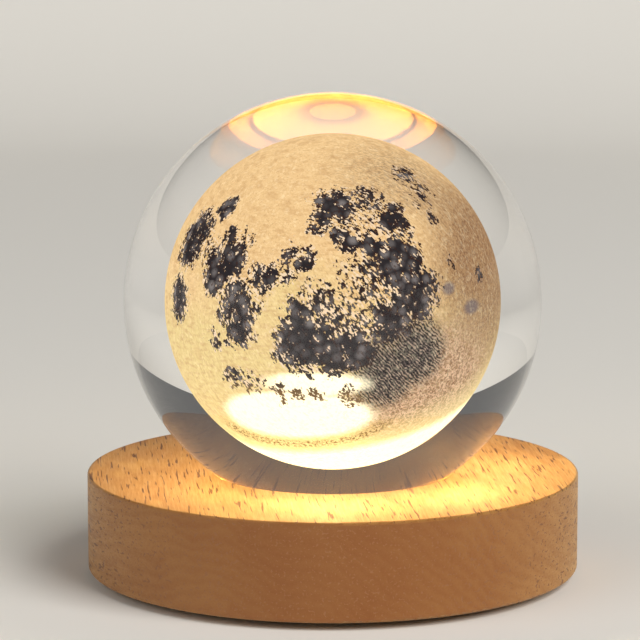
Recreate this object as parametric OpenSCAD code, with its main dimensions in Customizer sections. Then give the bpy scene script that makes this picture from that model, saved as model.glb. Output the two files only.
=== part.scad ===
// Moon lamp: a clear glass ball with a moon engraved inside it, standing on a round
// beech base that hides a ring of warm LEDs, a push switch and a power inlet.
// The origin is at the middle of the underside, +Z is up, and -Y faces the viewer.

/* [Ball] */
// Diameter of the glass ball
ball_d = 80; // [74:1:90]

/* [Engraved moon] */
// Diameter of the moon engraved inside the ball
moon_d = 42.4; // [30:0.2:50]
// Depth of the layer of engraved points
moon_layer_t = 0.4; // [0.3:0.05:1]
// Turn of the moon about its own poles, in degrees
moon_turn = 28; // [-45:1:45]
// Tip of the moon towards the viewer, in degrees
moon_tip = 26; // [-45:1:45]
// Roll of the moon about the line of sight, in degrees
moon_roll = -164; // [-180:1:180]

/* [Wooden base] */
// Diameter of the base
base_d = 94.5; // [93:0.5:120]
// Height of the wood
wood_h = 18.5; // [18:0.5:30]
// Radius of the softened edges
edge_r = 0.5; // [0.2:0.1:2]
// Diameter of the ball's seat at the top of the wood
seat_d = 46.8; // [45:0.2:50]
// Width of the turned band that the ball rests on
seat_band_w = 1.4; // [1:0.1:3]
// Wood left between the seat and the pocket for the lights
ceiling_t = 6.5; // [5:0.25:7]
// Diameter of the pocket that holds the light unit
pocket_d = 62; // [60:1:64]
// Width of the wooden rim that shows round the bottom cover
rim_w = 3.75; // [2.5:0.25:5]
// Wood between the electronics bay and the outside, on the centre line
back_wall_t = 8.65; // [7.5:0.05:9.5]

/* [Bottom cover and feet] */
// Thickness of the bottom cover
cover_t = 2.5; // [2:0.1:3]
// Diameter of a foot pad
pad_d = 10; // [6:0.5:12]
// Height of a foot pad that shows below the cover
pad_out = 1.5; // [1:0.1:3]
// Depth of the recess that each pad is stuck in
pad_recess = 0.5; // [0.3:0.1:1]

/* [Light unit] */
// Gap between the ball and the diffuser
light_gap = 0.55; // [0.4:0.05:1.5]
// Thickness of the opal diffuser
diffuser_t = 1.6; // [1:0.1:2]
// Height of the air space between the diffuser and the LED board
shelf_h = 2; // [1.6:0.1:2.2]
// Wall of the holder's rim
holder_wall = 1.5; // [1:0.1:2]
// Thickness of the holder's flange
flange_t = 2; // [1.5:0.1:2.5]
// Number of LEDs in the ring
led_count = 6; // [3:1:8]
// Radius of the ring of LEDs
led_ring_r = 10.5; // [8:0.5:11]

/* [Power and switch] */
// Height of the inlet and button above the underside of the wood
port_h = 8.5; // [8.3:0.1:9]
// Distance of the inlet and of the button from the centre line
port_x = 11; // [10:0.25:11.25]
// Width of the recess for the cord's plug
plug_recess_w = 13; // [11:0.5:14]
// Height of the recess for the cord's plug
plug_recess_h = 7; // [6:0.25:7.5]
// Diameter of the push button
button_d = 6.5; // [5:0.1:7]
// Travel of the push button
button_travel = 1.5; // [0.5:0.1:2]
// How far the button stands out of the wood on its own axis
button_out = 1.15; // [0.5:0.05:1.3]

/* [Clearances] */
// Between the ball and its seat
ball_fit = 0.15; // [0.1:0.05:0.4]
// Between the holder and the wood, and between the cover and the wood
body_fit = 0.3; // [0.2:0.05:0.4]
// Between the button and its hole
button_fit = 0.25; // [0.15:0.05:0.4]
// Between a screw and the hole it bites into
screw_fit = 0.05; // [0.02:0.01:0.08]

/* [Hidden] */

$fn = 96;
eps = 0.01;      // overshoot of a cut past the face it opens
fit = 0.2;       // running room of the small parts inside

// Levels, from the table up
under_z = pad_out;
cover_z = under_z + cover_t;
top_z = under_z + wood_h;
ceiling_z = top_z - ceiling_t;
port_z = under_z + port_h;

// Radii of the base
base_r = base_d / 2;
ball_r = ball_d / 2;
seat_r = seat_d / 2;
hole_r = seat_r - seat_band_w;
pocket_r = pocket_d / 2;
rebate_r = base_r - rim_w;
cover_r = rebate_r - body_fit;

// The ball rests in a band cut by a sphere that is ball_fit larger than itself
seat_sphere_r = ball_r + ball_fit;
ball_z = top_z + sqrt(pow(seat_sphere_r, 2) - pow(seat_r, 2));

// Light unit, hung from the wood's ceiling right under the ball
rim_r = hole_r - body_fit;
rim_in_r = rim_r - holder_wall;
rim_clear = 1.6;
rim_top_z = ball_z - sqrt(pow(ball_r, 2) - pow(rim_in_r, 2)) - rim_clear;
shelf_z = ball_z - ball_r - light_gap - diffuser_t;
board_t = 1.6;
led_board_z = shelf_z - shelf_h;
holder_z = led_board_z - board_t;
shelf_w = 1.4;
board_step_w = 1;
flange_w = 2.3;
ear_reach = 3.3;
ear_r = 3.2;
led_board_r = rim_in_r - board_step_w - 2 * fit;
boss_r = 2.2;
boss_inset = 0.6;
boss_ring_r = led_board_r - boss_r - boss_inset;
holder_screw_r = rim_r + ear_reach;
FASTEN_ANGLES = [-90, 30, 150];

// Screws: diameter, head diameter, head height
m2 = [1.9, 3.8, 1.3];
m26 = [2.6, 4.8, 1.5];
screw_hole_extra = 0.3;
pilot_left = 2;          // wood left above a holder screw's pilot hole
cover_screw_r = (pocket_r + rebate_r) / 2;
cover_screw_l = 9;
cover_screw_sink = 1.6;
pad_inset = 2.2;         // from a pad's edge to the edge of the cover
pad_ring_r = cover_r - pad_d / 2 - pad_inset;

// USB-C inlet, a standard size
usb_w = 8.94;
usb_h = 3.26;
usb_l = 7.3;
usb_wall = 0.3;
usb_fit = 0.22;
usb_sink = 0.1;          // from the floor of the plug recess back to the inlet's mouth

// Electronics bay at the back, as wide as the power board that reaches past the inlet
board_side = 0.53;
bay_gap = 0.5;
board_w = 2 * (port_x + usb_w / 2 + board_side);
bay_w = board_w + 2 * bay_gap;
bay_y = base_r - back_wall_t;
power_front_gap = 0.9;
power_y0 = rim_r + power_front_gap;
power_y1 = bay_y - 2 * fit;
port_wall_t = 2;         // wood between the bay and the floor of the plug recess
plug_floor_y = bay_y + port_wall_t;
usb_y = plug_floor_y - usb_sink;
tongue_w = 6.7;
tongue_h = 0.7;
tongue_l = 4.6;
power_z = port_z - usb_h / 2 - board_t;
power_top_z = power_z + board_t;

// Latching push switch and its button
switch_w = 7;
switch_gap = 5.1;        // from the bay's wall to the front of the housing
switch_y = bay_y - switch_gap;
holder_gap = 1.6;        // from the holder's flange to the back corner of the housing
switch_back_y = sqrt(pow(rim_r + flange_w + holder_gap, 2) - pow(port_x - switch_w / 2, 2));
switch_l = switch_y - switch_back_y;
notch_gap = 2.5;         // from the housing to the edge of the board's notch
notch_x = -port_x + switch_w / 2 + notch_gap;
plunger_w = 2.4;
plunger_h = 2.2;
plunger_in = 2;
socket_l = 3;
ear_w = 8.6;
ear_t = 1.2;
ear_h = 5;
ear_gap = 0.4;
button_r = button_d / 2;
button_hole_r = button_r + button_fit;
button_y1 = sqrt(pow(base_r, 2) - pow(port_x, 2)) + button_out;
button_y0 = bay_y - ear_gap - ear_t;
notch_y = button_y0 - button_travel - 2 * fit;

// Standoffs that carry the power board, as [x, y]
standoff_r = 2.6;
front_standoff_x = 1.5;
STANDOFFS = [
    [front_standoff_x, power_y1 - standoff_r],
    [board_w / 2 - standoff_r, power_y0 + standoff_r + fit]
];

// Chips on the power board: width, length, height
chip = [4.9, 3.9, 1.5];
cap = [2.5, 3.2, 1.6];
part_gap = 0.6;
chip_x = front_standoff_x - part_gap;
chip_y = (power_y0 + power_y1) / 2 - 2 * part_gap;
cap_x = STANDOFFS[1][0] - m2[1] / 2 - part_gap - cap[0] / 2;
cap_y = usb_y - usb_l - 2 * part_gap - cap[1] / 2;

// Leads between the boards: distance from the centre line, and where they leave
lead_d = 1;
lead_x = 1.5;
lead_in = 5;             // from the LED board's edge to where the leads are soldered
lead_in_y = led_board_r - lead_in;
lead_out = 2.4;          // from the power board's edge to where they are soldered
lead_out_y = power_y0 + lead_out;
lead_z = (cover_z + min(holder_z, power_z)) / 2;

// The dark seas of the near side: latitude, longitude east, and radius, all in degrees
SEA_ANGLES = [
    [14, 60, 6.5],      // Crisium
    [-8, 52, 10],       // Fecunditatis
    [-21, 37, 4.5],     // Nectaris
    [4, 31, 12],        // Tranquillitatis
    [25, 17, 10],       // Serenitatis
    [10, 5.5, 4.5],     // Vaporum
    [35, -14, 10],      // Imbrium, east
    [34, -29, 10.5],    // Imbrium, west
    [-24, -15, 8],      // Nubium
    [-12, -27, 6],      // Cognitum
    [-27, -43, 7.5],    // Humorum
    [14, -55, 10.5],    // Procellarum, north
    [2, -58, 10],       // Procellarum, middle
    [-5, -50, 11],      // Procellarum, south
    [61, -5, 4.5],      // Frigoris, east
    [57, -25, 4]        // Frigoris, west
];

// ---- shapes used by several pieces

// A slot with round ends in the XZ plane, running from y to y + l
module slot_y(w, h, y, l) {
    translate([0, y, 0])
        rotate([-90, 0, 0])
            linear_extrude(l) {
                square([w - h, h], center = true);
                for (side = [-1, 1]) {
                    translate([side * (w - h) / 2, 0])
                        circle(d = h, $fn = 48);
                }
            }
}

// A box centred on x and z, running from y to y + l
module bar_y(w, h, y, l) {
    translate([-w / 2, y, -h / 2])
        cube([w, l, h]);
}

// A pan-head screw pointing up, its head's upper face at z = 0
module screw(size, l) {
    d = size[0];
    head_d = size[1];
    head_h = size[2];
    drive_w = 0.18 * head_d;
    difference() {
        union() {
            cylinder(d = d, h = l, $fn = 32);
            translate([0, 0, -head_h])
                cylinder(d = head_d, h = head_h, $fn = 32);
        }
        for (turn = [0, 90]) {
            rotate([0, 0, turn])
                translate([0, 0, -head_h])
                    cube([0.62 * head_d, drive_w, head_h], center = true);
        }
    }
}

// Copies of a child at the three fastening places, r from the axis
module three_places(r) {
    for (turn = FASTEN_ANGLES) {
        rotate([0, 0, turn])
            translate([r, 0, 0])
                children();
    }
}

// Copies of a child at four places, the first at angle start
module four_places(r, start) {
    for (i = [0:3]) {
        rotate([0, 0, start + 90 * i])
            translate([r, 0, 0])
                children();
    }
}

// ---- wooden base

module wood_blank() {
    rotate_extrude() {
        translate([0, under_z])
            square([base_r - edge_r, wood_h]);
        translate([0, under_z + edge_r])
            square([base_r, wood_h - 2 * edge_r]);
        for (z = [under_z + edge_r, top_z - edge_r]) {
            translate([base_r - edge_r, z])
                circle(r = edge_r, $fn = 32);
        }
    }
}

module electronics_room() {
    room_h = ceiling_z - cover_z + eps;
    translate([0, 0, cover_z - eps]) {
        cylinder(r = pocket_r, h = room_h);
        translate([-bay_w / 2, 0, 0])
            cube([bay_w, bay_y, room_h]);
    }
}

module back_openings() {
    out = base_r - bay_y + 1;
    translate([port_x, 0, port_z]) {
        slot_y(plug_recess_w, plug_recess_h, plug_floor_y, out);
        slot_y(usb_w + 2 * usb_fit, usb_h + 2 * usb_fit, bay_y - eps, out);
    }
    translate([-port_x, bay_y - eps, port_z])
        rotate([-90, 0, 0])
            cylinder(r = button_hole_r, h = out, $fn = 64);
}

module wood_base() {
    pilot_r = m2[0] / 2 + screw_fit;
    cover_pilot_r = m26[0] / 2 + screw_fit;
    color("burlywood")
        difference() {
            wood_blank();
            translate([0, 0, ball_z])
                sphere(r = seat_sphere_r, $fn = 160);
            translate([0, 0, ceiling_z - eps])
                cylinder(r = hole_r, h = ball_z - ceiling_z);
            electronics_room();
            translate([0, 0, under_z - eps])
                cylinder(r = rebate_r, h = cover_t + eps);
            back_openings();
            three_places(holder_screw_r)
                translate([0, 0, ceiling_z - eps])
                    cylinder(r = pilot_r, h = ceiling_t - pilot_left, $fn = 32);
            four_places(cover_screw_r, 45)
                translate([0, 0, cover_z - eps])
                    cylinder(r = cover_pilot_r, h = cover_screw_l, $fn = 32);
        }
}

// ---- bottom cover, its screws and the feet

module bottom_cover() {
    color("dimgray")
        difference() {
            union() {
                translate([0, 0, under_z])
                    cylinder(r = cover_r, h = cover_t);
                for (place = STANDOFFS) {
                    translate([place[0], place[1], under_z])
                        cylinder(r = standoff_r, h = power_z - under_z, $fn = 48);
                }
            }
            four_places(cover_screw_r, 45) {
                translate([0, 0, under_z - eps])
                    cylinder(d = m26[0] + screw_hole_extra, h = cover_t + 2 * eps, $fn = 32);
                translate([0, 0, under_z - eps])
                    cylinder(d = m26[1] + screw_hole_extra, h = cover_screw_sink + eps, $fn = 32);
            }
            four_places(pad_ring_r, 0)
                translate([0, 0, under_z - eps])
                    cylinder(d = pad_d + fit, h = pad_recess + eps, $fn = 64);
            for (place = STANDOFFS) {
                translate([place[0], place[1], cover_z])
                    cylinder(r = m2[0] / 2 + screw_fit, h = power_z - cover_z + eps, $fn = 32);
            }
        }
}

module cover_screws() {
    color("silver")
        four_places(cover_screw_r, 45)
            translate([0, 0, under_z + cover_screw_sink])
                screw(m26, cover_screw_l);
}

module foot_pads() {
    chamfer = 0.4;
    color("black")
        four_places(pad_ring_r, 0) {
            translate([0, 0, chamfer])
                cylinder(d = pad_d, h = pad_out + pad_recess - chamfer, $fn = 64);
            cylinder(d1 = pad_d - 2 * chamfer, d2 = pad_d, h = chamfer, $fn = 64);
        }
}

// ---- light unit

module led_holder() {
    ear_z = ceiling_z - flange_t;
    color("white")
        difference() {
            union() {
                translate([0, 0, holder_z])
                    cylinder(r = rim_r, h = rim_top_z - holder_z);
                translate([0, 0, ear_z])
                    cylinder(r = rim_r + flange_w, h = flange_t);
                three_places(holder_screw_r)
                    translate([0, 0, ear_z])
                        cylinder(r = ear_r, h = flange_t, $fn = 48);
            }
            // the room for the diffuser, above the shelf
            translate([0, 0, shelf_z])
                cylinder(r = rim_in_r, h = rim_top_z);
            // the light's way through the shelf, with the screw bosses left standing
            difference() {
                translate([0, 0, holder_z - eps])
                    cylinder(r = rim_in_r - board_step_w - shelf_w, h = rim_top_z);
                three_places(boss_ring_r)
                    translate([0, 0, led_board_z])
                        cylinder(r = boss_r, h = shelf_h, $fn = 48);
            }
            // the room for the LED board, below the shelf
            translate([0, 0, holder_z - eps])
                cylinder(r = rim_in_r - board_step_w, h = board_t + eps);
            three_places(boss_ring_r)
                translate([0, 0, led_board_z - eps])
                    cylinder(r = m2[0] / 2 + screw_fit, h = shelf_h + 2 * eps, $fn = 32);
            three_places(holder_screw_r)
                translate([0, 0, ear_z - eps])
                    cylinder(d = m2[0] + screw_hole_extra, h = flange_t + 2 * eps, $fn = 32);
        }
}

module holder_screws() {
    color("silver")
        three_places(holder_screw_r)
            translate([0, 0, ceiling_z - flange_t])
                screw(m2, flange_t + ceiling_t - pilot_left - 0.5);
}

module light_diffuser() {
    color("ivory")
        translate([0, 0, shelf_z])
            cylinder(r = rim_in_r - fit, h = diffuser_t);
}

module led_board() {
    color("whitesmoke")
        difference() {
            translate([0, 0, holder_z])
                cylinder(r = led_board_r, h = board_t);
            three_places(boss_ring_r)
                translate([0, 0, holder_z - eps])
                    cylinder(d = m2[0] + screw_hole_extra, h = board_t + 2 * eps, $fn = 32);
        }
}

module led_board_screws() {
    color("silver")
        three_places(boss_ring_r)
            translate([0, 0, holder_z])
                screw(m2, board_t + shelf_h - fit);
}

led_w = 2.8;
led_l = 3.5;
led_t = 0.8;

module leds() {
    color("gold")
        translate([0, 0, led_board_z + led_t / 2]) {
            cube([led_w, led_l, led_t], center = true);
            for (i = [0:led_count - 1]) {
                rotate([0, 0, i * 360 / led_count])
                    translate([led_ring_r, 0, 0])
                        cube([led_w, led_l, led_t], center = true);
            }
        }
}

module led_resistors() {
    resistor = [2, 1.25, 0.5];
    resistor_ring_r = (led_ring_r + led_w) / 2;
    color("black")
        for (turn = FASTEN_ANGLES) {
            rotate([0, 0, turn + 60])
                translate([resistor_ring_r, 0, led_board_z + resistor[2] / 2])
                    cube(resistor, center = true);
        }
}

// ---- power board, inlet and switch

module power_board() {
    color("darkgreen")
        translate([0, 0, power_z])
            difference() {
                translate([-board_w / 2, power_y0, 0])
                    cube([board_w, power_y1 - power_y0, board_t]);
                translate([-board_w / 2 - eps, notch_y, -eps])
                    cube([board_w / 2 + notch_x, power_y1 - notch_y + eps, board_t + 2 * eps]);
                for (place = STANDOFFS) {
                    translate([place[0], place[1], -eps])
                        cylinder(d = m2[0] + screw_hole_extra, h = board_t + 2 * eps, $fn = 32);
                }
            }
}

module power_board_screws() {
    color("silver")
        for (place = STANDOFFS) {
            translate([place[0], place[1], power_top_z])
                mirror([0, 0, 1])
                    screw(m2, board_t + power_z - cover_z - fit);
        }
}

module driver_chip() {
    color("black")
        translate([chip_x, chip_y, power_top_z + chip[2] / 2])
            cube(chip, center = true);
}

module capacitors() {
    color("tan")
        for (i = [0:1]) {
            translate([cap_x - i * (cap[0] + part_gap), cap_y, power_top_z + cap[2] / 2])
                cube(cap, center = true);
        }
}

module usb_socket_shell() {
    color("silver")
        translate([port_x, 0, port_z])
            difference() {
                slot_y(usb_w, usb_h, usb_y - usb_l, usb_l);
                slot_y(usb_w - 2 * usb_wall, usb_h - 2 * usb_wall,
                       usb_y - usb_l + usb_wall, usb_l);
            }
}

module usb_socket_tongue() {
    back_l = usb_l - usb_wall - 1 - tongue_l;
    back_y = usb_y - usb_l + usb_wall;
    color("black")
        translate([port_x, 0, port_z]) {
            slot_y(usb_w - 2 * usb_wall, usb_h - 2 * usb_wall, back_y, back_l);
            bar_y(tongue_w, tongue_h, back_y + back_l - eps, tongue_l + eps);
        }
}

module switch_housing() {
    switch_h = 2 * (port_z - power_top_z) + 0.6;
    hollow_l = plunger_in + button_travel + fit;
    color("dimgray")
        difference() {
            translate([-port_x - switch_w / 2, switch_y - switch_l, power_top_z])
                cube([switch_w, switch_l, switch_h]);
            translate([-port_x, 0, port_z])
                bar_y(plunger_w + 2 * fit, plunger_h + 2 * fit, switch_y - hollow_l, hollow_l + eps);
        }
}

module switch_plunger() {
    plunger_l = plunger_in + button_y0 - switch_y + socket_l;
    color("whitesmoke")
        translate([-port_x, 0, port_z])
            bar_y(plunger_w, plunger_h, switch_y - plunger_in, plunger_l);
}

module button_cap() {
    dome = 0.6;
    color("black")
        translate([-port_x, 0, port_z])
            difference() {
                union() {
                    rotate([-90, 0, 0])
                        translate([0, 0, button_y0])
                            cylinder(r = button_r, h = button_y1 - button_y0 - dome, $fn = 64);
                    rotate([-90, 0, 0])
                        translate([0, 0, button_y1 - dome])
                            cylinder(r1 = button_r, r2 = button_r - dome, h = dome, $fn = 64);
                    bar_y(ear_w, ear_h, button_y0, ear_t);
                }
                bar_y(plunger_w + fit, plunger_h + fit, button_y0 - eps, socket_l + eps);
            }
}

// ---- leads from the power board to the LED board

function unit(v) = v / norm(v);

// The direction of the route at point i
function heading(route, i) =
    i == 0 ? unit(route[1] - route[0]) :
    i == len(route) - 1 ? unit(route[i] - route[i - 1]) :
    unit(unit(route[i] - route[i - 1]) + unit(route[i + 1] - route[i]));

// One ring of the tube. Every route lies in a plane of constant x.
function ring(route, i, r, sides) =
    let (dir = heading(route, i),
         side = [1, 0, 0],
         up = cross(dir, side))
    [for (k = [0:sides - 1])
        route[i] + r * (cos(360 * k / sides) * side + sin(360 * k / sides) * up)];

module tube(route, r, sides) {
    n = len(route);
    points = [for (i = [0:n - 1]) each ring(route, i, r, sides)];
    walls = [for (i = [0:n - 2], k = [0:sides - 1])
        let (a = i * sides + k,
             b = i * sides + (k + 1) % sides)
        each [[a, b, a + sides], [b, b + sides, a + sides]]];
    first = [for (k = [sides - 1:-1:0]) k];
    last = [for (k = [0:sides - 1]) (n - 1) * sides + k];
    polyhedron(points = points, faces = concat(walls, [first, last]), convexity = 4);
}

// The quarter bend of a lead that hangs straight down from (y, z) to its own level
function bend_points(x, y, z, side) =
    let (r = 0.75 * (z - lead_z))
    [for (a = [0:30:90]) [x, y + side * r * (1 - cos(a)), lead_z + r * (1 - sin(a))]];

module lead(x) {
    down = bend_points(x, lead_in_y, holder_z, 1);
    up = bend_points(x, lead_out_y, power_z, -1);
    route = concat(
        [[x, lead_in_y, holder_z]],
        down,
        [for (i = [len(up) - 1:-1:0]) up[i]],
        [[x, lead_out_y, power_z]]
    );
    tube(route, lead_d / 2, 8);
}

module red_lead() {
    color("red")
        lead(lead_x);
}

module black_lead() {
    color("black")
        lead(-lead_x);
}

// ---- glass ball and the moon inside it

// Turns a child from the moon's own frame, prime meridian to the front, to its pose
module moon_pose() {
    translate([0, 0, ball_z])
        rotate([0, moon_roll, 0])
            rotate([moon_tip, 0, 0])
                rotate([0, 0, moon_turn])
                    children();
}

// The cone over one sea, its point at the moon's centre
module sea_cone(sea) {
    reach = moon_d;
    rotate([0, 0, sea[1]])
        rotate([90 - sea[0], 0, 0])
            cylinder(r1 = 0, r2 = reach * tan(sea[2]), h = reach, $fn = 64);
}

// The layer of engraved points. It is left open over the seas, which stay clear.
module moon_layer() {
    difference() {
        translate([0, 0, ball_z])
            difference() {
                sphere(d = moon_d, $fn = 128);
                sphere(d = moon_d - 2 * moon_layer_t, $fn = 128);
            }
        moon_pose() {
            for (sea = SEA_ANGLES) {
                sea_cone(sea);
            }
        }
    }
}

module glass_ball() {
    color("lightcyan", 0.4)
        difference() {
            translate([0, 0, ball_z])
                sphere(d = ball_d, $fn = 192);
            moon_layer();
        }
}

module engraved_moon() {
    color("wheat")
        moon_layer();
}

wood_base();
bottom_cover();
cover_screws();
foot_pads();
led_holder();
holder_screws();
light_diffuser();
led_board();
leds();
led_resistors();
led_board_screws();
power_board();
power_board_screws();
driver_chip();
capacitors();
usb_socket_shell();
usb_socket_tongue();
switch_housing();
switch_plunger();
button_cap();
red_lead();
black_lead();
glass_ball();
engraved_moon();
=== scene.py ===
"""Moon lamp: a glass ball with a moon engraved inside, lit from below, on a turned beech base."""
import math

import bmesh
import bpy
from mathutils import Euler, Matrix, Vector


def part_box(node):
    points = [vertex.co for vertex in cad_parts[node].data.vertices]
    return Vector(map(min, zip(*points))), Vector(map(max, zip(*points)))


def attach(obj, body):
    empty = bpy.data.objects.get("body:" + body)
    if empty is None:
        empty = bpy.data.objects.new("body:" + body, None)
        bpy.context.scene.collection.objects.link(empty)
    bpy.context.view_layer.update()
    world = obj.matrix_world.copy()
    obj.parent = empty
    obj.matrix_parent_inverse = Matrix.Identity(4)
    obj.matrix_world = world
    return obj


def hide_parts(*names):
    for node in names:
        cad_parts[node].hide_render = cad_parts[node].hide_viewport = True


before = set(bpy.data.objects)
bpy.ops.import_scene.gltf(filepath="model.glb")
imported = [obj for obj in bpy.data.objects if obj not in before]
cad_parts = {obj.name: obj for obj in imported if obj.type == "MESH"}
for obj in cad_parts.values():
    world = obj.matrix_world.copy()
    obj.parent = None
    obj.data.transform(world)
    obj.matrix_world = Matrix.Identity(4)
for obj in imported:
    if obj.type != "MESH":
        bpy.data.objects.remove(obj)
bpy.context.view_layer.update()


# ---- Camera
# The photo was taken from a little above the ball's middle, with a long lens. The distance and
# the height come from the outline of the ball and the ellipse of the base's top.

BALL_R = 0.040
ball_centre = Vector((0, 0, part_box("glass_ball")[1][2] - BALL_R))

CAMERA_DISTANCE = 0.600
CAMERA_ELEVATION = math.radians(8.9)
LENS_MM = 176.2
FRAME_PX = 640
BALL_AT_PX = (332.75, 301.3)

camera_data = bpy.data.cameras.new("camera")
camera_data.lens = LENS_MM
camera_data.sensor_width = 36
camera_data.clip_start = 0.05
camera_data.shift_x = (FRAME_PX / 2 - BALL_AT_PX[0]) / FRAME_PX
camera_data.shift_y = (BALL_AT_PX[1] - FRAME_PX / 2) / FRAME_PX
camera = bpy.data.objects.new("camera", camera_data)
camera.location = ball_centre + CAMERA_DISTANCE * Vector(
    (0, -math.cos(CAMERA_ELEVATION), math.sin(CAMERA_ELEVATION)))
camera.rotation_euler = (math.pi / 2 - CAMERA_ELEVATION, 0, 0)
bpy.context.collection.objects.link(camera)
bpy.context.scene.camera = camera


# ---- Wooden base
# Turned from one piece of European beech, sanded fine and oiled. The grain lies flat and runs
# from front to back, so the top shows long pores and the front and back show end grain.

def colour(hex_code):
    """An sRGB hex colour as linear red, green, blue and alpha."""
    channels = [int(hex_code[i:i + 2], 16) / 255 for i in (1, 3, 5)]
    return [c / 12.92 if c <= 0.04045 else ((c + 0.055) / 1.055) ** 2.4 for c in channels] + [1]


def new_material(name):
    """An empty node material."""
    material = bpy.data.materials.new(name)
    material.use_nodes = True
    material.node_tree.nodes.clear()
    return material


def add(material, kind, inputs=None, **settings):
    """Add a node with its settings. Inputs are values, or nodes or their outputs to link."""
    tree = material.node_tree
    node = tree.nodes.new("ShaderNode" + kind)
    for name, value in settings.items():
        setattr(node, name, value)
    for socket, value in (inputs or {}).items():
        if isinstance(value, bpy.types.Node):
            value = next(output for output in value.outputs if output.enabled)
        if isinstance(value, bpy.types.NodeSocket):
            tree.links.new(value, node.inputs[socket])
        else:
            node.inputs[socket].default_value = value
    return node


def dress(material, *node_names):
    """Give CAD nodes their material."""
    for name in node_names:
        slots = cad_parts[name].data.materials
        slots.clear()
        slots.append(material)


# Beech, turned and oiled: warm tan with a silky sheen, short dark pores, faint growth rings.
beech = new_material("beech, turned and oiled")
place = add(beech, "TexCoord")
# millimetres, the grain turned 5 degrees off the line from front to back
grain = add(beech, "Mapping", {"Vector": place.outputs["Object"], "Scale": (1000, 1000, 1000),
                               "Rotation": (math.radians(2), 0, math.radians(-5))})
# cloudy patches some 18 mm across, long along the grain
cloud_place = add(beech, "Mapping", {"Vector": grain, "Scale": (0.055, 0.02, 0.055)})
cloud = add(beech, "TexNoise", {"Vector": cloud_place, "Scale": 1, "Detail": 4, "Roughness": 0.6})
# growth rings round a pith 60 mm below and to one side, bent by the clouds
RING_GAP_MM = 2.4
pith = add(beech, "Mapping", {"Vector": grain, "Location": (38, 0, 60), "Scale": (1, 0.03, 1)})
ring_r = add(beech, "VectorMath", {0: pith}, operation="LENGTH")
ring_bent = add(beech, "Math", {0: cloud, 1: 14, 2: ring_r}, operation="MULTIPLY_ADD")
ring_turn = add(beech, "Math", {0: ring_bent, 1: 2 * math.pi / RING_GAP_MM}, operation="MULTIPLY")
ring_wave = add(beech, "Math", {0: ring_turn}, operation="SINE")
rings = add(beech, "MapRange", {"Value": ring_wave, "From Min": -1, "From Max": 1})
# fibres 0.35 mm wide and some 12 mm long
fibre_place = add(beech, "Mapping", {"Vector": grain, "Scale": (2.8, 0.08, 2.8)})
fibres = add(beech, "TexNoise", {"Vector": fibre_place, "Scale": 1, "Detail": 4,
                                 "Roughness": 0.7})
# pores: dark dashes where the vessels are cut open. Real ones are 0.1 mm wide, and they are drawn
# some 0.25 mm wide and 4 mm long, as coarse as they need to be to show
pore_place = add(beech, "Mapping", {"Vector": grain, "Scale": (2.1, 0.11, 2.1)})
pore_field = add(beech, "TexNoise", {"Vector": pore_place, "Scale": 1, "Detail": 1,
                                     "Roughness": 0.4})
pores = add(beech, "MapRange", {"Value": pore_field, "From Min": 0.62,
                                "From Max": 0.68})

tone = add(beech, "Math", {0: rings, 1: 0.15, 2: cloud}, operation="MULTIPLY_ADD")
fine_tone = add(beech, "Math", {0: fibres, 1: 0.55, 2: tone}, operation="MULTIPLY_ADD")
tone_step = add(beech, "MapRange", {"Value": fine_tone, "From Min": 0.55,
                                    "From Max": 1.2})
ground = add(beech, "Mix", {"Factor": tone_step, 6: colour("#CC9C5A"),
                            7: colour("#A06C36")}, data_type="RGBA")
# end grain drinks more oil and stays darker
facing = add(beech, "NewGeometry")
facing_parts = add(beech, "SeparateXYZ", {0: facing.outputs["Normal"]})
along_grain = add(beech, "Math", {0: facing_parts.outputs["Y"]}, operation="ABSOLUTE")
end_grain = add(beech, "MapRange", {"Value": along_grain, "From Min": 0.1,
                                    "To Max": 0.8})
drunk = add(beech, "Mix", {"Factor": end_grain, 6: ground,
                           7: colour("#84491F")}, data_type="RGBA")
# pores are dark dashes along the grain, and pale dusty specks where they are cut across
pore_tone = add(beech, "Mix", {"Factor": end_grain, 6: colour("#54290F"),
                               7: colour("#A8744A")}, data_type="RGBA")
pore_depth = add(beech, "Math", {0: pores, 1: 0.85}, operation="MULTIPLY")
wood_tone = add(beech, "Mix", {"Factor": pore_depth, 6: drunk, 7: pore_tone}, data_type="RGBA")
sheen = add(beech, "MapRange", {"Value": fibres, "From Min": 0.3, "From Max": 0.7,
                                "To Min": 0.36, "To Max": 0.58})
relief_height = add(beech, "Math", {0: pores, 1: -1.5, 2: fibres}, operation="MULTIPLY_ADD")
relief = add(beech, "Bump", {"Height": relief_height, "Strength": 0.35, "Distance": 0.00008})
wood = add(beech, "BsdfPrincipled", {"Base Color": wood_tone, "Roughness": sheen,
                                     "Normal": relief, "IOR": 1.5})
add(beech, "OutputMaterial", {"Surface": wood})
dress(beech, "wood_base")


# ---- Light unit
# An ABS cup, its ivory tone partly painted warm light, hangs under the wood's ceiling on three
# screws. An opal acrylic disc lies on its shelf, right under the ball. The LED board is screwed
# up against the shelf from below.

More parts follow.
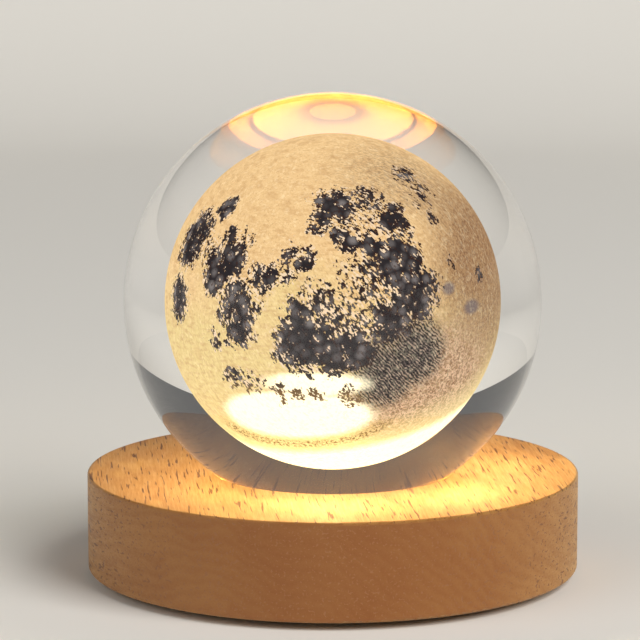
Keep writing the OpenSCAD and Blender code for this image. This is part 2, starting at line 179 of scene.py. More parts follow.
def moulded_plastic(name, tone, worn_tone, roughness, grain_mm, depth):
    """A moulded plastic: fine grain, its depth in metres, and dull, shiny and rubbed patches."""
    plastic = new_material(name)
    place = add(plastic, "TexCoord")
    texture = add(plastic, "TexNoise", {"Vector": place.outputs["Object"],
                                        "Scale": 1000 / grain_mm, "Detail": 3, "Roughness": 0.6})
    # handling marks some 9 mm across
    rubbed = add(plastic, "TexNoise", {"Vector": place.outputs["Object"], "Scale": 110,
                                       "Detail": 5, "Roughness": 0.65})
    rubbed_step = add(plastic, "MapRange", {"Value": rubbed, "From Min": 0.4,
                                            "From Max": 0.75})
    skin = add(plastic, "Mix", {"Factor": rubbed_step, 6: colour(tone),
                                7: colour(worn_tone)}, data_type="RGBA")
    gloss = add(plastic, "MapRange", {"Value": rubbed, "From Min": 0.3,
                                      "From Max": 0.7, "To Min": roughness + 0.08,
                                      "To Max": roughness - 0.08})
    relief = add(plastic, "Bump", {"Height": texture, "Strength": 0.4, "Distance": depth})
    shader = add(plastic, "BsdfPrincipled", {"Base Color": skin, "Roughness": gloss,
                                             "Normal": relief, "IOR": 1.52})
    add(plastic, "OutputMaterial", {"Surface": shader})
    return plastic


# ABS, moulded: satin, its ivory tone partly the plastic's own and partly painted warm light, so
# the cup throws the light back warm.
holder_abs = moulded_plastic("ABS, moulded, ivory with painted warm light", "#E3C48E", "#D8B47A", roughness=0.45,
                             grain_mm=0.3, depth=1e-5)
dress(holder_abs, "led_holder")

# Opal acrylic, lit from behind: an even amber glow, a little brighter over each LED.
LED_RING_R = 0.0105
LED_COUNT = 6
led_places = [Vector((0, 0))] + [
    Vector((LED_RING_R * math.cos(turn), LED_RING_R * math.sin(turn)))
    for turn in (2 * math.pi * i / LED_COUNT for i in range(LED_COUNT))]


def led_distances(material, across):
    """The way in millimetres to the middle of each LED, seen from above."""
    return [add(material, "VectorMath", {0: across, 1: (*(led_place * 1000), 0)},
                operation="DISTANCE") for led_place in led_places]


HOT_SPOT_INNER_MM, HOT_SPOT_OUTER_MM = 1.2, 4.5
opal = new_material("opal acrylic, lit from behind")
place = add(opal, "TexCoord")
across = add(opal, "Mapping", {"Vector": place.outputs["Object"], "Scale": (1000, 1000, 0)})
spots = None
for away in led_distances(opal, across):
    spot = add(opal, "MapRange", {"Value": away, "From Min": HOT_SPOT_OUTER_MM,
                                  "From Max": HOT_SPOT_INNER_MM},
               interpolation_type="SMOOTHSTEP")
    spots = spot if spots is None else add(opal, "Math", {0: spots, 1: spot}, operation="MAXIMUM")
frost = add(opal, "TexNoise", {"Vector": across, "Scale": 1.5, "Detail": 3})
glow_tone = add(opal, "Mix", {"Factor": spots, 6: colour("#FFAE3C"), 7: colour("#FFBE5A")},
                data_type="RGBA")
led_power = add(opal, "MapRange", {"Value": spots, "To Min": 6, "To Max": 8})
frost_relief = add(opal, "Bump", {"Height": frost, "Strength": 0.3, "Distance": 0.00002})
frosted = add(opal, "BsdfPrincipled", {"Base Color": colour("#7A5220"), "Roughness": 0.4,
                                       "Normal": frost_relief, "Emission Color": glow_tone,
                                       "Emission Strength": led_power})
add(opal, "OutputMaterial", {"Surface": frosted})
dress(opal, "light_diffuser")


# LED: a white moulded cup filled with yellow phosphor gel, which glows.
GEL_R_MM = 1.1
led_mix = new_material("LED, moulded cup with phosphor gel")
place = add(led_mix, "TexCoord")
across = add(led_mix, "Mapping", {"Vector": place.outputs["Object"], "Scale": (1000, 1000, 0)})
nearest = None
for away in led_distances(led_mix, across):
    nearest = away if nearest is None else add(led_mix, "Math", {0: nearest, 1: away},
                                               operation="MINIMUM")
gel = add(led_mix, "MapRange", {"Value": nearest, "From Min": GEL_R_MM + 0.15,
                                "From Max": GEL_R_MM})
gel_grain = add(led_mix, "TexNoise", {"Vector": across, "Scale": 9, "Detail": 2})
gel_tone = add(led_mix, "Mix", {"Factor": gel_grain, 6: colour("#F4C534"),
                                7: colour("#E7A61C")}, data_type="RGBA")
led_tone = add(led_mix, "Mix", {"Factor": gel, 6: colour("#EFEDE6"),
                                7: gel_tone}, data_type="RGBA")
led_power = add(led_mix, "Math", {0: gel, 1: 4.0}, operation="MULTIPLY")
led_relief = add(led_mix, "Bump", {"Height": gel_grain, "Strength": 0.3, "Distance": 0.00003})
led_shader = add(led_mix, "BsdfPrincipled", {"Base Color": led_tone, "Roughness": 0.25,
                                             "Normal": led_relief,
                                             "Emission Color": colour("#FFD48C"),
                                             "Emission Strength": led_power})
add(led_mix, "OutputMaterial", {"Surface": led_shader})
dress(led_mix, "leds")


def circuit_board(name, tone, track_tone, roughness):
    """A board under solder mask: glass weave that prints through, and tracks a shade off."""
    board = new_material(name)
    place = add(board, "TexCoord")
    mm = add(board, "Mapping", {"Vector": place.outputs["Object"], "Scale": (1000, 1000, 1000)})
    weave = None
    for direction in ("X", "Y"):
        # threads 0.45 mm apart
        wave = add(board, "TexWave", {"Vector": mm, "Scale": 0.7, "Distortion": 0.4},
                   bands_direction=direction)
        threads = wave.outputs["Fac"]
        weave = threads if weave is None else add(board, "Math", {0: weave, 1: threads},
                                                  operation="MULTIPLY")
    # tracks some 0.5 mm wide, with square corners
    cells = add(board, "TexVoronoi", {"Vector": mm, "Scale": 0.32},
                feature="F2", distance="CHEBYCHEV")
    track_bands = add(board, "Math", {0: cells, 1: 0.28}, operation="PINGPONG")
    tracks = add(board, "MapRange", {"Value": track_bands, "From Min": 0.12,
                                     "From Max": 0.14})
    mask = add(board, "Mix", {"Factor": tracks, 6: colour(tone), 7: colour(track_tone)},
               data_type="RGBA")
    height = add(board, "Math", {0: weave, 1: 0.3, 2: tracks}, operation="MULTIPLY_ADD")
    relief = add(board, "Bump", {"Height": height, "Strength": 0.4, "Distance": 0.00003})
    flow = add(board, "TexNoise", {"Vector": mm, "Scale": 0.4, "Detail": 2})
    gloss = add(board, "MapRange", {"Value": flow, "To Min": roughness - 0.1,
                                    "To Max": roughness + 0.1})
    shader = add(board, "BsdfPrincipled", {"Base Color": mask, "Roughness": gloss,
                                           "Normal": relief, "IOR": 1.5})
    add(board, "OutputMaterial", {"Surface": shader})
    return board


# Solder mask: white and satin under the LEDs so that it throws their light forward.
dress(circuit_board("white solder mask on aluminium", "#ECEBE6", "#DEDCD5", roughness=0.38),
      "led_board")


def plated_steel(name, tone, dull_tone, roughness):
    """Plated steel: a fine directionless grain, cloudy dull patches and hairline scratches."""
    steel = new_material(name)
    place = add(steel, "TexCoord")
    mm = add(steel, "Mapping", {"Vector": place.outputs["Object"], "Scale": (1000, 1000, 1000)})
    clouds = add(steel, "TexNoise", {"Vector": mm, "Scale": 0.9, "Detail": 4})
    plating = add(steel, "Mix", {"Factor": clouds, 6: colour(tone),
                                 7: colour(dull_tone)}, data_type="RGBA")
    # scratches 0.05 mm wide
    hair_place = add(steel, "Mapping", {"Vector": mm, "Rotation": (0.4, 0.3, 0.9),
                                        "Scale": (20, 1.2, 20)})
    hairs = add(steel, "TexNoise", {"Vector": hair_place, "Scale": 1, "Detail": 2})
    gloss = add(steel, "MapRange", {"Value": hairs, "From Min": 0.35,
                                    "From Max": 0.7, "To Min": roughness - 0.1,
                                    "To Max": roughness + 0.15})
    relief = add(steel, "Bump", {"Height": hairs, "Strength": 0.25, "Distance": 0.00001})
    shader = add(steel, "BsdfPrincipled", {"Base Color": plating, "Metallic": 1,
                                           "Roughness": gloss, "Normal": relief})
    add(steel, "OutputMaterial", {"Surface": shader})
    return steel


# Zinc-plated steel: cold-headed screws, cool grey with a milky bloom.
dress(plated_steel("steel, zinc plated", "#C9CBCC", "#A9ADB0", roughness=0.34),
      "holder_screws", "led_board_screws", "power_board_screws", "cover_screws")


# ---- Underside, inlet and button
# The black cover closes the base, with four screws and four rubber pads. Behind it sit the
# power board with its USB-C inlet and the push switch, whose cap comes out at the back.

# ABS, moulded: black, with a fine spark-eroded grain that scatters the light.
dress(moulded_plastic("black ABS, spark-eroded grain", "#1C1C1D", "#2C2B2A",
                      roughness=0.55, grain_mm=0.35, depth=4e-5),
      "bottom_cover")
# ABS, moulded smooth: the button is polished by fingers.
dress(moulded_plastic("black ABS, moulded smooth", "#19191A", "#232323",
                      roughness=0.3, grain_mm=0.9, depth=1e-5),
      "button_cap")
# Glass-filled plastic: dull black, with a coarse flow grain.
dress(moulded_plastic("black nylon, glass filled", "#1D1D1E", "#2A2A2B",
                      roughness=0.5, grain_mm=0.2, depth=2e-5),
      "switch_housing", "usb_socket_tongue")
# Acetal, moulded: waxy white.
dress(moulded_plastic("white acetal, moulded", "#E9E8E2", "#DCDACF",
                      roughness=0.35, grain_mm=0.6, depth=1e-5),
      "switch_plunger")
# Moulding compound: charcoal with pale filler grains, as chips and resistors have.
dress(moulded_plastic("epoxy moulding compound", "#202022", "#313133",
                      roughness=0.6, grain_mm=0.08, depth=1e-5),
      "driver_chip", "led_resistors")
# Ceramic, fired: tan and close-grained.
dress(moulded_plastic("ceramic, fired", "#A67F56", "#8F6A45",
                      roughness=0.4, grain_mm=0.1, depth=1e-5), "capacitors")
# Insulation, extruded: soft gloss, slightly uneven along the lead.
dress(moulded_plastic("red PVC, extruded", "#A81A16", "#8C1512",
                      roughness=0.38, grain_mm=1.5, depth=3e-5), "red_lead")
dress(moulded_plastic("black PVC, extruded", "#1A1A1A", "#292929",
                      roughness=0.38, grain_mm=1.5, depth=3e-5),
      "black_lead")
# Solder mask on glass fibre: glossy green.
dress(circuit_board("green solder mask on glass fibre", "#0F5A35", "#1A7346", roughness=0.28),
      "power_board")
# Nickel-plated steel: the inlet's shell, drawn and bright, with a warm cast.
dress(plated_steel("steel, nickel plated", "#CFCABF", "#B5B0A5", roughness=0.26),
      "usb_socket_shell")

# Rubber, die cut: dead matt black that picks up pale dust.
rubber = new_material("rubber, die cut")
place = add(rubber, "TexCoord")
dust = add(rubber, "TexNoise", {"Vector": place.outputs["Object"], "Scale": 900, "Detail": 5,
                                "Roughness": 0.8})
dust_step = add(rubber, "MapRange", {"Value": dust, "From Min": 0.55,
                                     "From Max": 0.8, "To Max": 0.5})
rubber_tone = add(rubber, "Mix", {"Factor": dust_step, 6: colour("#191918"),
                                  7: colour("#6B675F")}, data_type="RGBA")
rubber_relief = add(rubber, "Bump", {"Height": dust, "Strength": 0.5, "Distance": 0.00004})
rubber_shader = add(rubber, "BsdfPrincipled", {"Base Color": rubber_tone, "Roughness": 0.85,
                                               "Normal": rubber_relief})
add(rubber, "OutputMaterial", {"Surface": rubber_shader})
dress(rubber, "foot_pads")


# ---- Glass ball
# Optical glass, ground and polished to a full ball. It lies loose in its seat and lifts out. A
# finer sphere stands for the CAD one, because glass shows every facet.

def smooth_object(name, mesh):
    """An object in the scene with a finished bmesh, shaded smooth."""
    for face in mesh.faces:
        face.smooth = True
    data = bpy.data.meshes.new(name)
    mesh.to_mesh(data)
    mesh.free()
    made = bpy.data.objects.new(name, data)
    bpy.context.collection.objects.link(made)
    return made


mesh = bmesh.new()
bmesh.ops.create_uvsphere(mesh, u_segments=192, v_segments=96, radius=BALL_R)
bmesh.ops.translate(mesh, vec=ball_centre, verts=mesh.verts)
crystal_ball = smooth_object("crystal_ball", mesh)
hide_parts("glass_ball")
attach(crystal_ball, "ball")

# Optical glass, polished: clear, bends the light hard, and lets it through to the wood.
GLASS_IOR = 1.517
crystal = new_material("optical glass, polished")
place = add(crystal, "TexCoord")
# finger marks some 12 mm across, barely there
smears = add(crystal, "TexNoise", {"Vector": place.outputs["Object"], "Scale": 85, "Detail": 4})
smear_step = add(crystal, "MapRange", {"Value": smears, "From Min": 0.55,
                                       "From Max": 0.8, "To Max": 0.012})
glass = add(crystal, "BsdfPrincipled", {"Base Color": colour("#FFFFFF"), "Roughness": smear_step,
                                        "IOR": GLASS_IOR, "Transmission Weight": 1})
# shadow rays pass, as if the glass weren't there, so the lamps reach the seat under the ball
clear = add(crystal, "BsdfTransparent", {"Color": colour("#F8F8F6")})
path = add(crystal, "LightPath")
lets_light = add(crystal, "MixShader", {0: path.outputs["Is Shadow Ray"], 1: glass, 2: clear})
add(crystal, "OutputMaterial", {"Surface": lets_light})
crystal_ball.data.materials.append(crystal)


# ---- Engraved moon
# A cloud of tiny laser cracks inside the glass, dense on the bright highlands and sparse on the
# dark seas. It glows cream from the light below, and its lower part is brightest. A full sphere
# stands for the CAD shell, and the seas' ragged shores are in its material.

MOON_R = 0.0212
MOON_TURN, MOON_TIP, MOON_ROLL = (math.radians(a) for a in (28, 26, -164))
# the seas of the near side: latitude, longitude east and radius of each lobe, in degrees
SEAS = {
    "Crisium": [(15, 62, 7)],
    "Fecunditatis": [(-5, 52, 9), (-13, 52, 5)],
    "Nectaris": [(-18, 37, 4.5)],
    "Tranquillitatis": [(5.5, 25, 7.5), (10, 33, 7.5), (-4, 28, 3)],
    "Serenitatis": [(25, 20, 8.5), (32, 18, 6)],
    "Vaporum": [(12.5, 6, 4.7)],
    "Medii": [(3.5, -10, 4), (1.5, -2, 2.5)],
    "Imbrium": [(38, -15, 10), (38, -27, 10), (29, -11, 5), (34, -39, 7), (32, -47, 5),
                (23, -10, 4.5)],
    "Nubium": [(-24, -16, 8), (-16, -13, 4)],
    "Cognitum": [(-9, -24, 5), (-9.5, -35, 4.5)],
    "Humorum": [(-26, -42, 7)],
    "Procellarum": [(-7, -49, 10), (2, -58, 11), (16, -54, 9)],
}
# thin seas that the dots break up
THIN_SEAS = [(27, -41, 7), (25, -32, 7), (21, -23, 7), (8, -37, 5), (12, -3.5, 3), (-10, -11, 3),
             (-31, -29, 5), (0, -37, 6), (62.5, -2, 3.4), (62, -19, 3.2), (59, -32, 3),
             (54, -54, 3.6), (-54, -51, 4.5), (-45, -60, 3.6), (-35, -63, 3), (54, 34, 4),
             (36, 39, 3.5), (39, 29, 2.5), (-17, -74, 2.2), (27, 147, 5), (-34, 163, 6),
             (-20, 129, 4.5), (-19, -95, 3.5)]
THIN_DARKNESS = 0.66
# half dark places, freckled all over
FRECKLED = [(4, -30, 7), (16, -38, 9), (10, -45, 7), (-18, -30, 8), (5, -5, 7), (16, -16, 5),
            (18, 10, 7), (0, 40, 7), (-2, 20, 6), (-48, -55, 9), (57, 20, 6), (-50, -170, 18)]
FRECKLED_DARKNESS = 0.27

mesh = bmesh.new()
bmesh.ops.create_icosphere(mesh, subdivisions=6, radius=MOON_R)
bmesh.ops.translate(mesh, vec=ball_centre, verts=mesh.verts)
moon_engraving = smooth_object("moon_engraving", mesh)
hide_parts("engraved_moon")
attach(moon_engraving, "ball")

moon_turned = (Euler((0, MOON_ROLL, 0)).to_matrix() @ Euler((MOON_TIP, 0, 0)).to_matrix()
               @ Euler((0, 0, MOON_TURN)).to_matrix())


def sea_direction(latitude, longitude):
    """The way from the moon's centre to a place on it, in the lamp's frame."""
    lat, lon = math.radians(latitude), math.radians(longitude)
    return moon_turned @ Vector((math.cos(lat) * math.sin(lon), -math.cos(lat) * math.cos(lon),
                                 math.sin(lat)))


# Laser cracks in glass: cream dots packed tight on the highlands, charcoal gaps in the seas.
cracks = new_material("laser cracks in glass, lit from below")
place = add(cracks, "TexCoord")
centred = add(cracks, "VectorMath", {0: place.outputs["Object"], 1: ball_centre},
              operation="SUBTRACT")
mm = add(cracks, "VectorMath", {0: centred, "Scale": 1000}, operation="SCALE")
mm_parts = add(cracks, "SeparateXYZ", {0: mm})
height_mm = mm_parts.outputs["Z"]
outward = add(cracks, "VectorMath", {0: mm}, operation="NORMALIZE")

# the seas' outlines, wandering by a few degrees
wander = add(cracks, "TexNoise", {"Vector": mm, "Scale": 0.22, "Detail": 5, "Roughness": 0.7})
wander_step = add(cracks, "VectorMath", {0: wander.outputs["Color"], 1: (-0.5, -0.5, -0.5)},
                  operation="ADD")
wander_push = add(cracks, "VectorMath", {0: wander_step, "Scale": 0.35}, operation="SCALE")
bent = add(cracks, "VectorMath", {0: outward, 1: wander_push}, operation="ADD")
bent_outward = add(cracks, "VectorMath", {0: bent}, operation="NORMALIZE")
# a lobe begins at 1.45 of its radius and has its full darkness inside 0.6 of it
LOBE_OUTER, LOBE_INNER = 1.45, 0.6
all_lobes = [(*lobe, 1.0) for lobes in SEAS.values() for lobe in lobes]
all_lobes += [(*lobe, THIN_DARKNESS) for lobe in THIN_SEAS]
all_lobes += [(*lobe, FRECKLED_DARKNESS) for lobe in FRECKLED]
seas = None
for latitude, longitude, radius, darkness in all_lobes:
    near = add(cracks, "VectorMath", {0: bent_outward, 1: sea_direction(latitude, longitude)},
               operation="DOT_PRODUCT")
    lobe = add(cracks, "MapRange", {"Value": near,
                                    "From Min": math.cos(math.radians(radius * LOBE_OUTER)),
                                    "From Max": math.cos(math.radians(radius * LOBE_INNER)),
                                    "To Max": darkness})
    seas = lobe if seas is None else add(cracks, "Math", {0: seas, 1: lobe}, operation="MAXIMUM")


def lit_patch(middle_mm, half_mm, soft):
    """1 inside an ellipsoid about a place on the moon, 0 outside, with a soft edge."""
    shifted = add(cracks, "VectorMath", {0: mm, 1: middle_mm}, operation="SUBTRACT")
    scaled = add(cracks, "VectorMath", {0: shifted, 1: [1 / h for h in half_mm]},
                 operation="MULTIPLY")
    reach = add(cracks, "VectorMath", {0: scaled}, operation="LENGTH")
    return add(cracks, "MapRange", {"Value": reach, "From Min": 1 + soft, "From Max": 1 - soft},
               interpolation_type="SMOOTHSTEP")


# the laser works in rows that run down to the right, so single dashes and gaps lie along them:
# cells 0.62 mm long and 0.26 mm wide, each with a number of its own
ROW_SLOPE = math.radians(-40)
rows = add(cracks, "Mapping", {"Vector": mm, "Rotation": (0, ROW_SLOPE, 0)},
           vector_type="TEXTURE")
cell_place = add(cracks, "Mapping", {"Vector": rows, "Scale": (3.9, 3.9, 1.6)})
cells = add(cracks, "TexVoronoi", {"Vector": cell_place, "Scale": 1})
cell_parts = add(cracks, "SeparateColor", {0: cells.outputs["Color"]})
dice = cell_parts.outputs["Red"]

# ragged shores: noise 1 mm down to 0.15 mm, and the cells' own numbers, decide where dots end
shore = add(cracks, "TexNoise", {"Vector": mm, "Scale": 0.95, "Detail": 3, "Roughness": 0.75})
swing = add(cracks, "MapRange", {"Value": shore, "From Min": 0.3, "From Max": 0.7,
                                 "To Min": -0.46, "To Max": 0.46}, clamp=False)
dice_swing = add(cracks, "MapRange", {"Value": dice, "From Min": 0, "From Max": 1,
                                      "To Min": -0.44, "To Max": 0.44})
loose = add(cracks, "Math", {0: swing, 1: dice_swing}, operation="ADD")
near_sea = add(cracks, "MapRange", {"Value": seas, "From Min": 0.02, "From Max": 0.2})
shore_field = add(cracks, "Math", {0: loose, 1: near_sea, 2: seas}, operation="MULTIPLY_ADD")
sea = add(cracks, "MapRange", {"Value": shore_field, "From Min": 0.42, "From Max": 0.5})
not_sea = add(cracks, "Math", {0: 1.0, 1: sea}, operation="SUBTRACT")

# highlands: orange cream above, yellower towards the middle
tint = add(cracks, "TexNoise", {"Vector": mm, "Scale": 0.1, "Detail": 2})
tint_push = add(cracks, "MapRange", {"Value": tint, "From Min": 0.3, "From Max": 0.7,
                                     "To Min": -6, "To Max": 6})
tint_height = add(cracks, "Math", {0: height_mm, 1: tint_push}, operation="ADD")
tint_step = add(cracks, "MapRange", {"Value": tint_height, "From Min": -4, "From Max": 10})
highland = add(cracks, "Mix", {"Factor": tint_step, 6: colour("#F4D894"),
                               7: colour("#F9D095")}, data_type="RGBA")
# faint scratches along the rows, and soft level waves
scratch_place = add(cracks, "Mapping", {"Vector": rows, "Scale": (3.2, 3.2, 0.9)})
scratches = add(cracks, "TexNoise", {"Vector": scratch_place, "Scale": 1, "Detail": 3,
                                     "Roughness": 0.7})
scratch_cover = add(cracks, "MapRange", {"Value": scratches, "From Min": 0.5, "From Max": 0.78,
                                         "To Max": 0.7})
waves_place = add(cracks, "Mapping", {"Vector": mm, "Scale": (0.5, 0.5, 1.8)})
waves = add(cracks, "TexNoise", {"Vector": waves_place, "Scale": 1, "Detail": 3})
wave_cover = add(cracks, "MapRange", {"Value": waves, "From Min": 0.48, "From Max": 0.68,
                                      "To Max": 0.5})
# single dashes near the seas, which catch more light
lone_dashes = add(cracks, "MapRange", {"Value": dice, "From Min": 0.3, "From Max": 0.15})
by_the_seas = add(cracks, "MapRange", {"Value": seas, "From Min": 0.05, "From Max": 0.3})
dash_cover = add(cracks, "Math", {0: lone_dashes, 1: by_the_seas}, operation="MULTIPLY")

# painted shade greys the top, broken up along the scratches
top_shade = lit_patch((12, -4, 18), (11, 9, 4.5), 0.6)
top_shade_strength = add(cracks, "MapRange", {"Value": scratches, "From Min": 0.35,
                                         "From Max": 0.65, "To Min": 0.1, "To Max": 0.9})

# the lower right is cut in short wavy lines, which fade to a grey-brown stipple
LINE_GAP_MM = 0.42
bend = add(cracks, "TexNoise", {"Vector": mm, "Scale": 0.8, "Detail": 3})
bend_turn = add(cracks, "Math", {0: bend, 1: 15}, operation="MULTIPLY")
row_parts = add(cracks, "SeparateXYZ", {0: rows})
line_turn = add(cracks, "Math", {0: row_parts.outputs["X"], 1: 2 * math.pi / LINE_GAP_MM,
                                 2: bend_turn}, operation="MULTIPLY_ADD")
line_wave = add(cracks, "Math", {0: line_turn}, operation="SINE")
breaks = add(cracks, "TexNoise", {"Vector": mm, "Scale": 1.7, "Detail": 1})
break_push = add(cracks, "MapRange", {"Value": breaks, "From Min": 0.3, "From Max": 0.7,
                                      "To Min": 0.9, "To Max": -0.9})
broken_wave = add(cracks, "Math", {0: line_wave, 1: break_push}, operation="ADD")
lines = add(cracks, "MapRange", {"Value": broken_wave, "From Min": -0.1, "From Max": 0.35})
lower_right = lit_patch((13, -10, -11), (9.5, 13, 9.5), 0.45)
line_depth = add(cracks, "Math", {0: lower_right, 1: 0.6}, operation="MULTIPLY")
# painted shade: the right limb is darkened grey-brown, and its stipple lies there too
right_limb = lit_patch((20.5, 0, 6), (7, 18, 14), 0.6)
far_right = add(cracks, "Math", {0: lower_right, 1: right_limb}, operation="MAXIMUM")
stipple = add(cracks, "TexNoise", {"Vector": mm, "Scale": 2.6, "Detail": 2, "Roughness": 0.8})
specks = add(cracks, "MapRange", {"Value": stipple, "From Min": 0.46, "From Max": 0.62})
speck_depth = add(cracks, "Math", {0: far_right, 1: 0.75}, operation="MULTIPLY")
# pale threads some 0.15 mm wide wind about between the specks there
winding = add(cracks, "TexNoise", {"Vector": mm, "Scale": 1.3, "Detail": 2, "Roughness": 0.6})
from_middle = add(cracks, "Math", {0: winding, 1: 0.5}, operation="SUBTRACT")
off_thread = add(cracks, "Math", {0: from_middle}, operation="ABSOLUTE")
threads = add(cracks, "MapRange", {"Value": off_thread, "From Min": 0.075, "From Max": 0.02})
thread_depth = add(cracks, "Math", {0: lower_right, 1: 0.8}, operation="MULTIPLY")
# in the middle of it the glass is dark, with a silvery crest beside each line
core = add(cracks, "Math", {0: lit_patch((7.6, -17.2, -7.9), (4.4, 5, 5.2), 0.5),
                            1: lit_patch((11.9, -15.8, -5.2), (4.5, 5, 4.6), 0.5)},
           operation="MAXIMUM")
crests = add(cracks, "MapRange", {"Value": broken_wave, "From Min": -0.7, "From Max": -1.2})
crest_depth = add(cracks, "MapRange", {"Value": core, "From Min": 0, "From Max": 0.5,
                                       "To Max": 0.8})
cut_depth = add(cracks, "MapRange", {"Value": core, "From Min": 0, "From Max": 0.5})
# two small grey spots on the right
spot_pair = add(cracks, "Math", {0: lit_patch((17.1, -12, 3.8), (1.0, 1.6, 0.9), 0.4),
                                 1: lit_patch((19.8, -7.7, 0.4), (1.3, 2.2, 1.0), 0.4)},
                operation="MAXIMUM")

# the shades lie over the highlands one by one: how much each covers, and its colour
ground_tone = highland
for cover, tone in ((scratch_cover, "#C4945F"), (wave_cover, "#D2A36C"),
                    (dash_cover, "#FDE0BC")):
    ground_tone = add(cracks, "Mix", {"Factor": cover, 6: ground_tone, 7: colour(tone)},
                      data_type="RGBA")
# and these too: where each lies, how strong it is there, and its colour
# the top's grey and the right limb's grey-brown among them are painted shade
for where, strength, tone in (
        (top_shade, top_shade_strength, "#A58563"), (right_limb, 0.8, "#987050"),
        (lower_right, 0.8, "#A47C5C"), (specks, speck_depth, "#7D5A40"),
        (lines, line_depth, "#94694A"), (threads, thread_depth, "#E9C3A0"),
        (core, 0.92, "#4A4042"), (crests, crest_depth, "#BBA48C"),
        (lines, cut_depth, "#161112"), (spot_pair, 0.75, "#6E6468")):
    cover = add(cracks, "Math", {0: where, 1: strength}, operation="MULTIPLY")
    ground_tone = add(cracks, "Mix", {"Factor": cover, 6: ground_tone, 7: colour(tone)},
                      data_type="RGBA")

# seas: charcoal, with soft grey rounds where the far side shows through out of focus, and a
# brown fringe where the dots thin out
rounds = add(cracks, "TexVoronoi", {"Vector": mm, "Scale": 0.62})
round_dice = add(cracks, "SeparateColor", {0: rounds.outputs["Color"]})
round_shape = add(cracks, "MapRange", {"Value": rounds, "From Min": 0.72, "From Max": 0.1},
                  interpolation_type="SMOOTHSTEP")
round_cover = add(cracks, "Math", {0: round_shape, 1: round_dice.outputs["Red"]},
                  operation="MULTIPLY")
murky = add(cracks, "Mix", {"Factor": round_cover, 6: colour("#2C2729"),
                            7: colour("#8C8481")}, data_type="RGBA")
fringe_step = add(cracks, "MapRange", {"Value": shore_field, "From Min": 0.5,
                                       "From Max": 0.85})
fringed = add(cracks, "Mix", {"Factor": fringe_step, 6: colour("#43261A"), 7: murky},
              data_type="RGBA")
# the light from below reaches into the lowest gaps and browns them
low_step = add(cracks, "MapRange", {"Value": height_mm, "From Min": -9.6, "From Max": -11.2,
                                    "To Max": 0.75})
low_gaps = add(cracks, "Mix", {"Factor": low_step, 6: fringed, 7: colour("#8A6A40")},
               data_type="RGBA")
open_ground = add(cracks, "Mix", {"Factor": sea, 6: ground_tone, 7: low_gaps}, data_type="RGBA")

# round the moon's foot, which the cap on the ball shows, the cracks glow yellow
foot_way = add(cracks, "VectorMath", {0: outward, 1: (0.15, 0.35, -0.92)},
               operation="DOT_PRODUCT")
foot_halo = add(cracks, "MapRange", {"Value": foot_way,
                                     "From Min": math.cos(math.radians(62)),
                                     "From Max": math.cos(math.radians(44)), "To Max": 0.7})
halo_cover = add(cracks, "Math", {0: foot_halo, 1: not_sea}, operation="MULTIPLY")
warmed = add(cracks, "Mix", {"Factor": halo_cover, 6: open_ground, 7: colour("#FFE9A8")},
             data_type="RGBA")
# a thin arc of brown specks between the two lit places at the front
LIT_PLACE_MM = (-5.6, -13.6, -14.5)
arc = add(cracks, "Math", {0: lit_patch(LIT_PLACE_MM, (14.6, 16, 5.1), 0.05),
                           1: lit_patch(LIT_PLACE_MM, (12.8, 13, 4.2), 0.05)},
          operation="SUBTRACT")
arc_fade = add(cracks, "MapRange", {"Value": height_mm, "From Min": -15, "From Max": -16.5})
arc_low = add(cracks, "Math", {0: arc, 1: arc_fade}, operation="MULTIPLY")
arc_specks = add(cracks, "Math", {0: arc_low, 1: specks}, operation="MULTIPLY")
skin = add(cracks, "Mix", {"Factor": arc_specks, 6: warmed, 7: colour("#7A5A2C")},
           data_type="RGBA")

# where the light from below hits the cracks hardest, they burn out to white
hot_front = add(cracks, "Math", {0: lit_patch(LIT_PLACE_MM, (11.6, 12, 3.6), 0.14),
                                 1: lit_patch((-2.6, -18.5, -9.8), (8, 8, 1.9), 0.3)},
                operation="MAXIMUM")
hot_foot = add(cracks, "MapRange", {"Value": foot_way,
                                    "From Min": math.cos(math.radians(46)),
                                    "From Max": math.cos(math.radians(40))})
hot_all = add(cracks, "Math", {0: hot_front, 1: hot_foot}, operation="MAXIMUM")
hot_loose = add(cracks, "Math", {0: loose, 1: 0.3, 2: hot_all}, operation="MULTIPLY_ADD")
hot_ragged = add(cracks, "Math", {0: hot_loose, 1: arc_specks}, operation="SUBTRACT")
hot = add(cracks, "Math", {0: hot_ragged, 1: not_sea}, operation="MULTIPLY", use_clamp=True)
lit_skin = add(cracks, "Mix", {"Factor": hot, 6: skin, 7: colour("#FFF3CC")}, data_type="RGBA")
hot_power = add(cracks, "MapRange", {"Value": hot, "From Min": 0, "From Max": 1,
                                     "To Min": 1.0, "To Max": 1.6})
# the glow alone gives the cracks their colour: they throw back next to none of the lamps' light
dim_skin = add(cracks, "Mix", {"Factor": 0.02, 6: colour("#000000"), 7: skin}, data_type="RGBA")
roughened = add(cracks, "Bump", {"Height": shore, "Strength": 0.5, "Distance": 0.0002})
moon_shader = add(cracks, "BsdfPrincipled", {"Base Color": dim_skin, "Roughness": 0.8,
                                             "Normal": roughened, "Specular IOR Level": 0,
                                             "Emission Color": lit_skin,
                                             "Emission Strength": hot_power})
add(cracks, "OutputMaterial", {"Surface": moon_shader})
moon_engraving.data.materials.append(cracks)


# ---- Light that the ball throws on the wood
# The ball scatters the light from below back onto the base and into its seat. Discs of light
# that can't be seen stand for it, because light can't be followed that far through the glass.

def glow_disc(name, place, radius, watts, tone, up=False):
    """A disc of light that can't be seen, placed from the middle of the wood's top."""
    data = bpy.data.lights.new(name, "AREA")
    data.shape = "DISK"
    data.size = 2 * radius
    data.energy = watts
    data.color = colour(tone)[:3]
    disc = bpy.data.objects.new(name, data)
    disc.location = Vector(place) + Vector((0, 0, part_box("wood_base")[1][2]))
    disc.rotation_euler = (math.pi if up else 0, 0, 0)
    for kind_of_ray in ("visible_camera", "visible_glossy", "visible_transmission"):
        setattr(disc, kind_of_ray, False)
    bpy.context.collection.objects.link(disc)


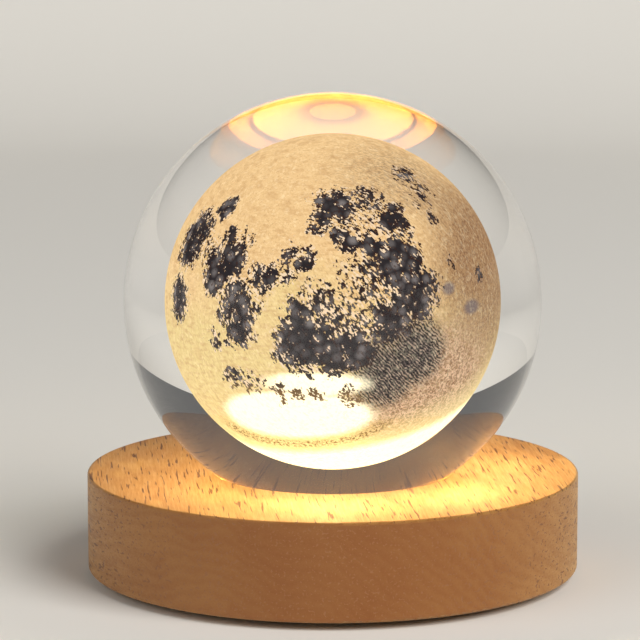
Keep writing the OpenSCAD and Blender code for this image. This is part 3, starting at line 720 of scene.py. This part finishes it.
# two at the height of the moon's foot light the top, strongest at the front
glow_disc("glow_near", (0.003, -0.008, 0.0112), radius=0.022, watts=0.13, tone="#FFDC96")
glow_disc("glow_wide", (0.004, 0, 0.0112), radius=0.030, watts=0.03, tone="#FFDC96")
# a ring of them round the ball's foot, strongest at the front right: degrees and watts
GLOW_RING_R, GLOW_RING_Z = 0.024, 0.0098
for degrees, watts in ((-90, 0.060), (-45, 0.060), (0, 0.026), (45, 0.005), (90, 0.004),
                       (135, 0.002), (180, 0.001), (-135, 0.020)):
    turn = math.radians(degrees)
    glow_disc("glow_ring",
              (GLOW_RING_R * math.cos(turn), GLOW_RING_R * math.sin(turn), GLOW_RING_Z),
              radius=0.012, watts=watts, tone="#FFEDC8")
# two in the seat, where light bounces between the wood, the holder and the ball
glow_disc("glow_seat", (0, 0, -0.0077), radius=0.0195, watts=0.12, tone="#FFC860", up=True)
glow_disc("glow_rim", (0, 0, -0.0034), radius=0.0218, watts=0.35, tone="#FFE08C", up=True)


# ---- Floor and studio light
# A plain pale floor that turns up into a low rim all round. A large soft lamp stands at the
# front right, and a weaker one at the left.

FLOOR_R = 0.75
TURN_UP_R = 0.28

mesh = bmesh.new()
first = mesh.verts.new((0, 0, 0))
along = mesh.verts.new((0, FLOOR_R, 0))
mesh.edges.new((first, along))
bmesh.ops.spin(mesh, geom=[along], cent=(0, FLOOR_R, TURN_UP_R), axis=(1, 0, 0),
               angle=math.pi / 2, steps=12)
bmesh.ops.spin(mesh, geom=mesh.verts[:] + mesh.edges[:], cent=(0, 0, 0), axis=(0, 0, 1),
               angle=2 * math.pi, steps=96, use_merge=True)
bmesh.ops.remove_doubles(mesh, verts=mesh.verts, dist=1e-6)
bmesh.ops.recalc_face_normals(mesh, faces=mesh.faces)
sweep = smooth_object("sweep", mesh)

# Paper, painted matt: plain and pale, so that the lamp's colours and shadow read clearly.
paper = new_material("paper, painted matt")
paper_shader = add(paper, "BsdfDiffuse", {"Color": colour("#F1EDE5")})
add(paper, "OutputMaterial", {"Surface": paper_shader})
sweep.data.materials.append(paper)


def soft_lamp(name, size, watts, direction, distance):
    """A square area lamp that shines at the ball from a direction."""
    data = bpy.data.lights.new(name, "AREA")
    data.size = size
    data.energy = watts
    lamp = bpy.data.objects.new(name, data)
    lamp.location = ball_centre + distance * Vector(direction).normalized()
    lamp.rotation_euler = (-Vector(direction)).to_track_quat("-Z", "Y").to_euler()
    lamp.visible_transmission = False
    lamp.visible_camera = False
    lamp.visible_glossy = False
    bpy.context.collection.objects.link(lamp)


# far enough off that the floor behind the lamp stays below white
LAMP_DISTANCE = 2.6
soft_lamp("key", size=1.75, watts=60, direction=(0.9, -0.8, 1.0), distance=LAMP_DISTANCE)
soft_lamp("fill", size=2.0, watts=21, direction=(-1.0, -0.7, 0.6), distance=LAMP_DISTANCE)

world = bpy.data.worlds.new("studio")
world.use_nodes = True
world.node_tree.nodes["Background"].inputs["Color"].default_value = colour("#FFFFFF")
world.node_tree.nodes["Background"].inputs["Strength"].default_value = 0.10
bpy.context.scene.world = world
bpy.context.scene.view_settings.view_transform = "Standard"
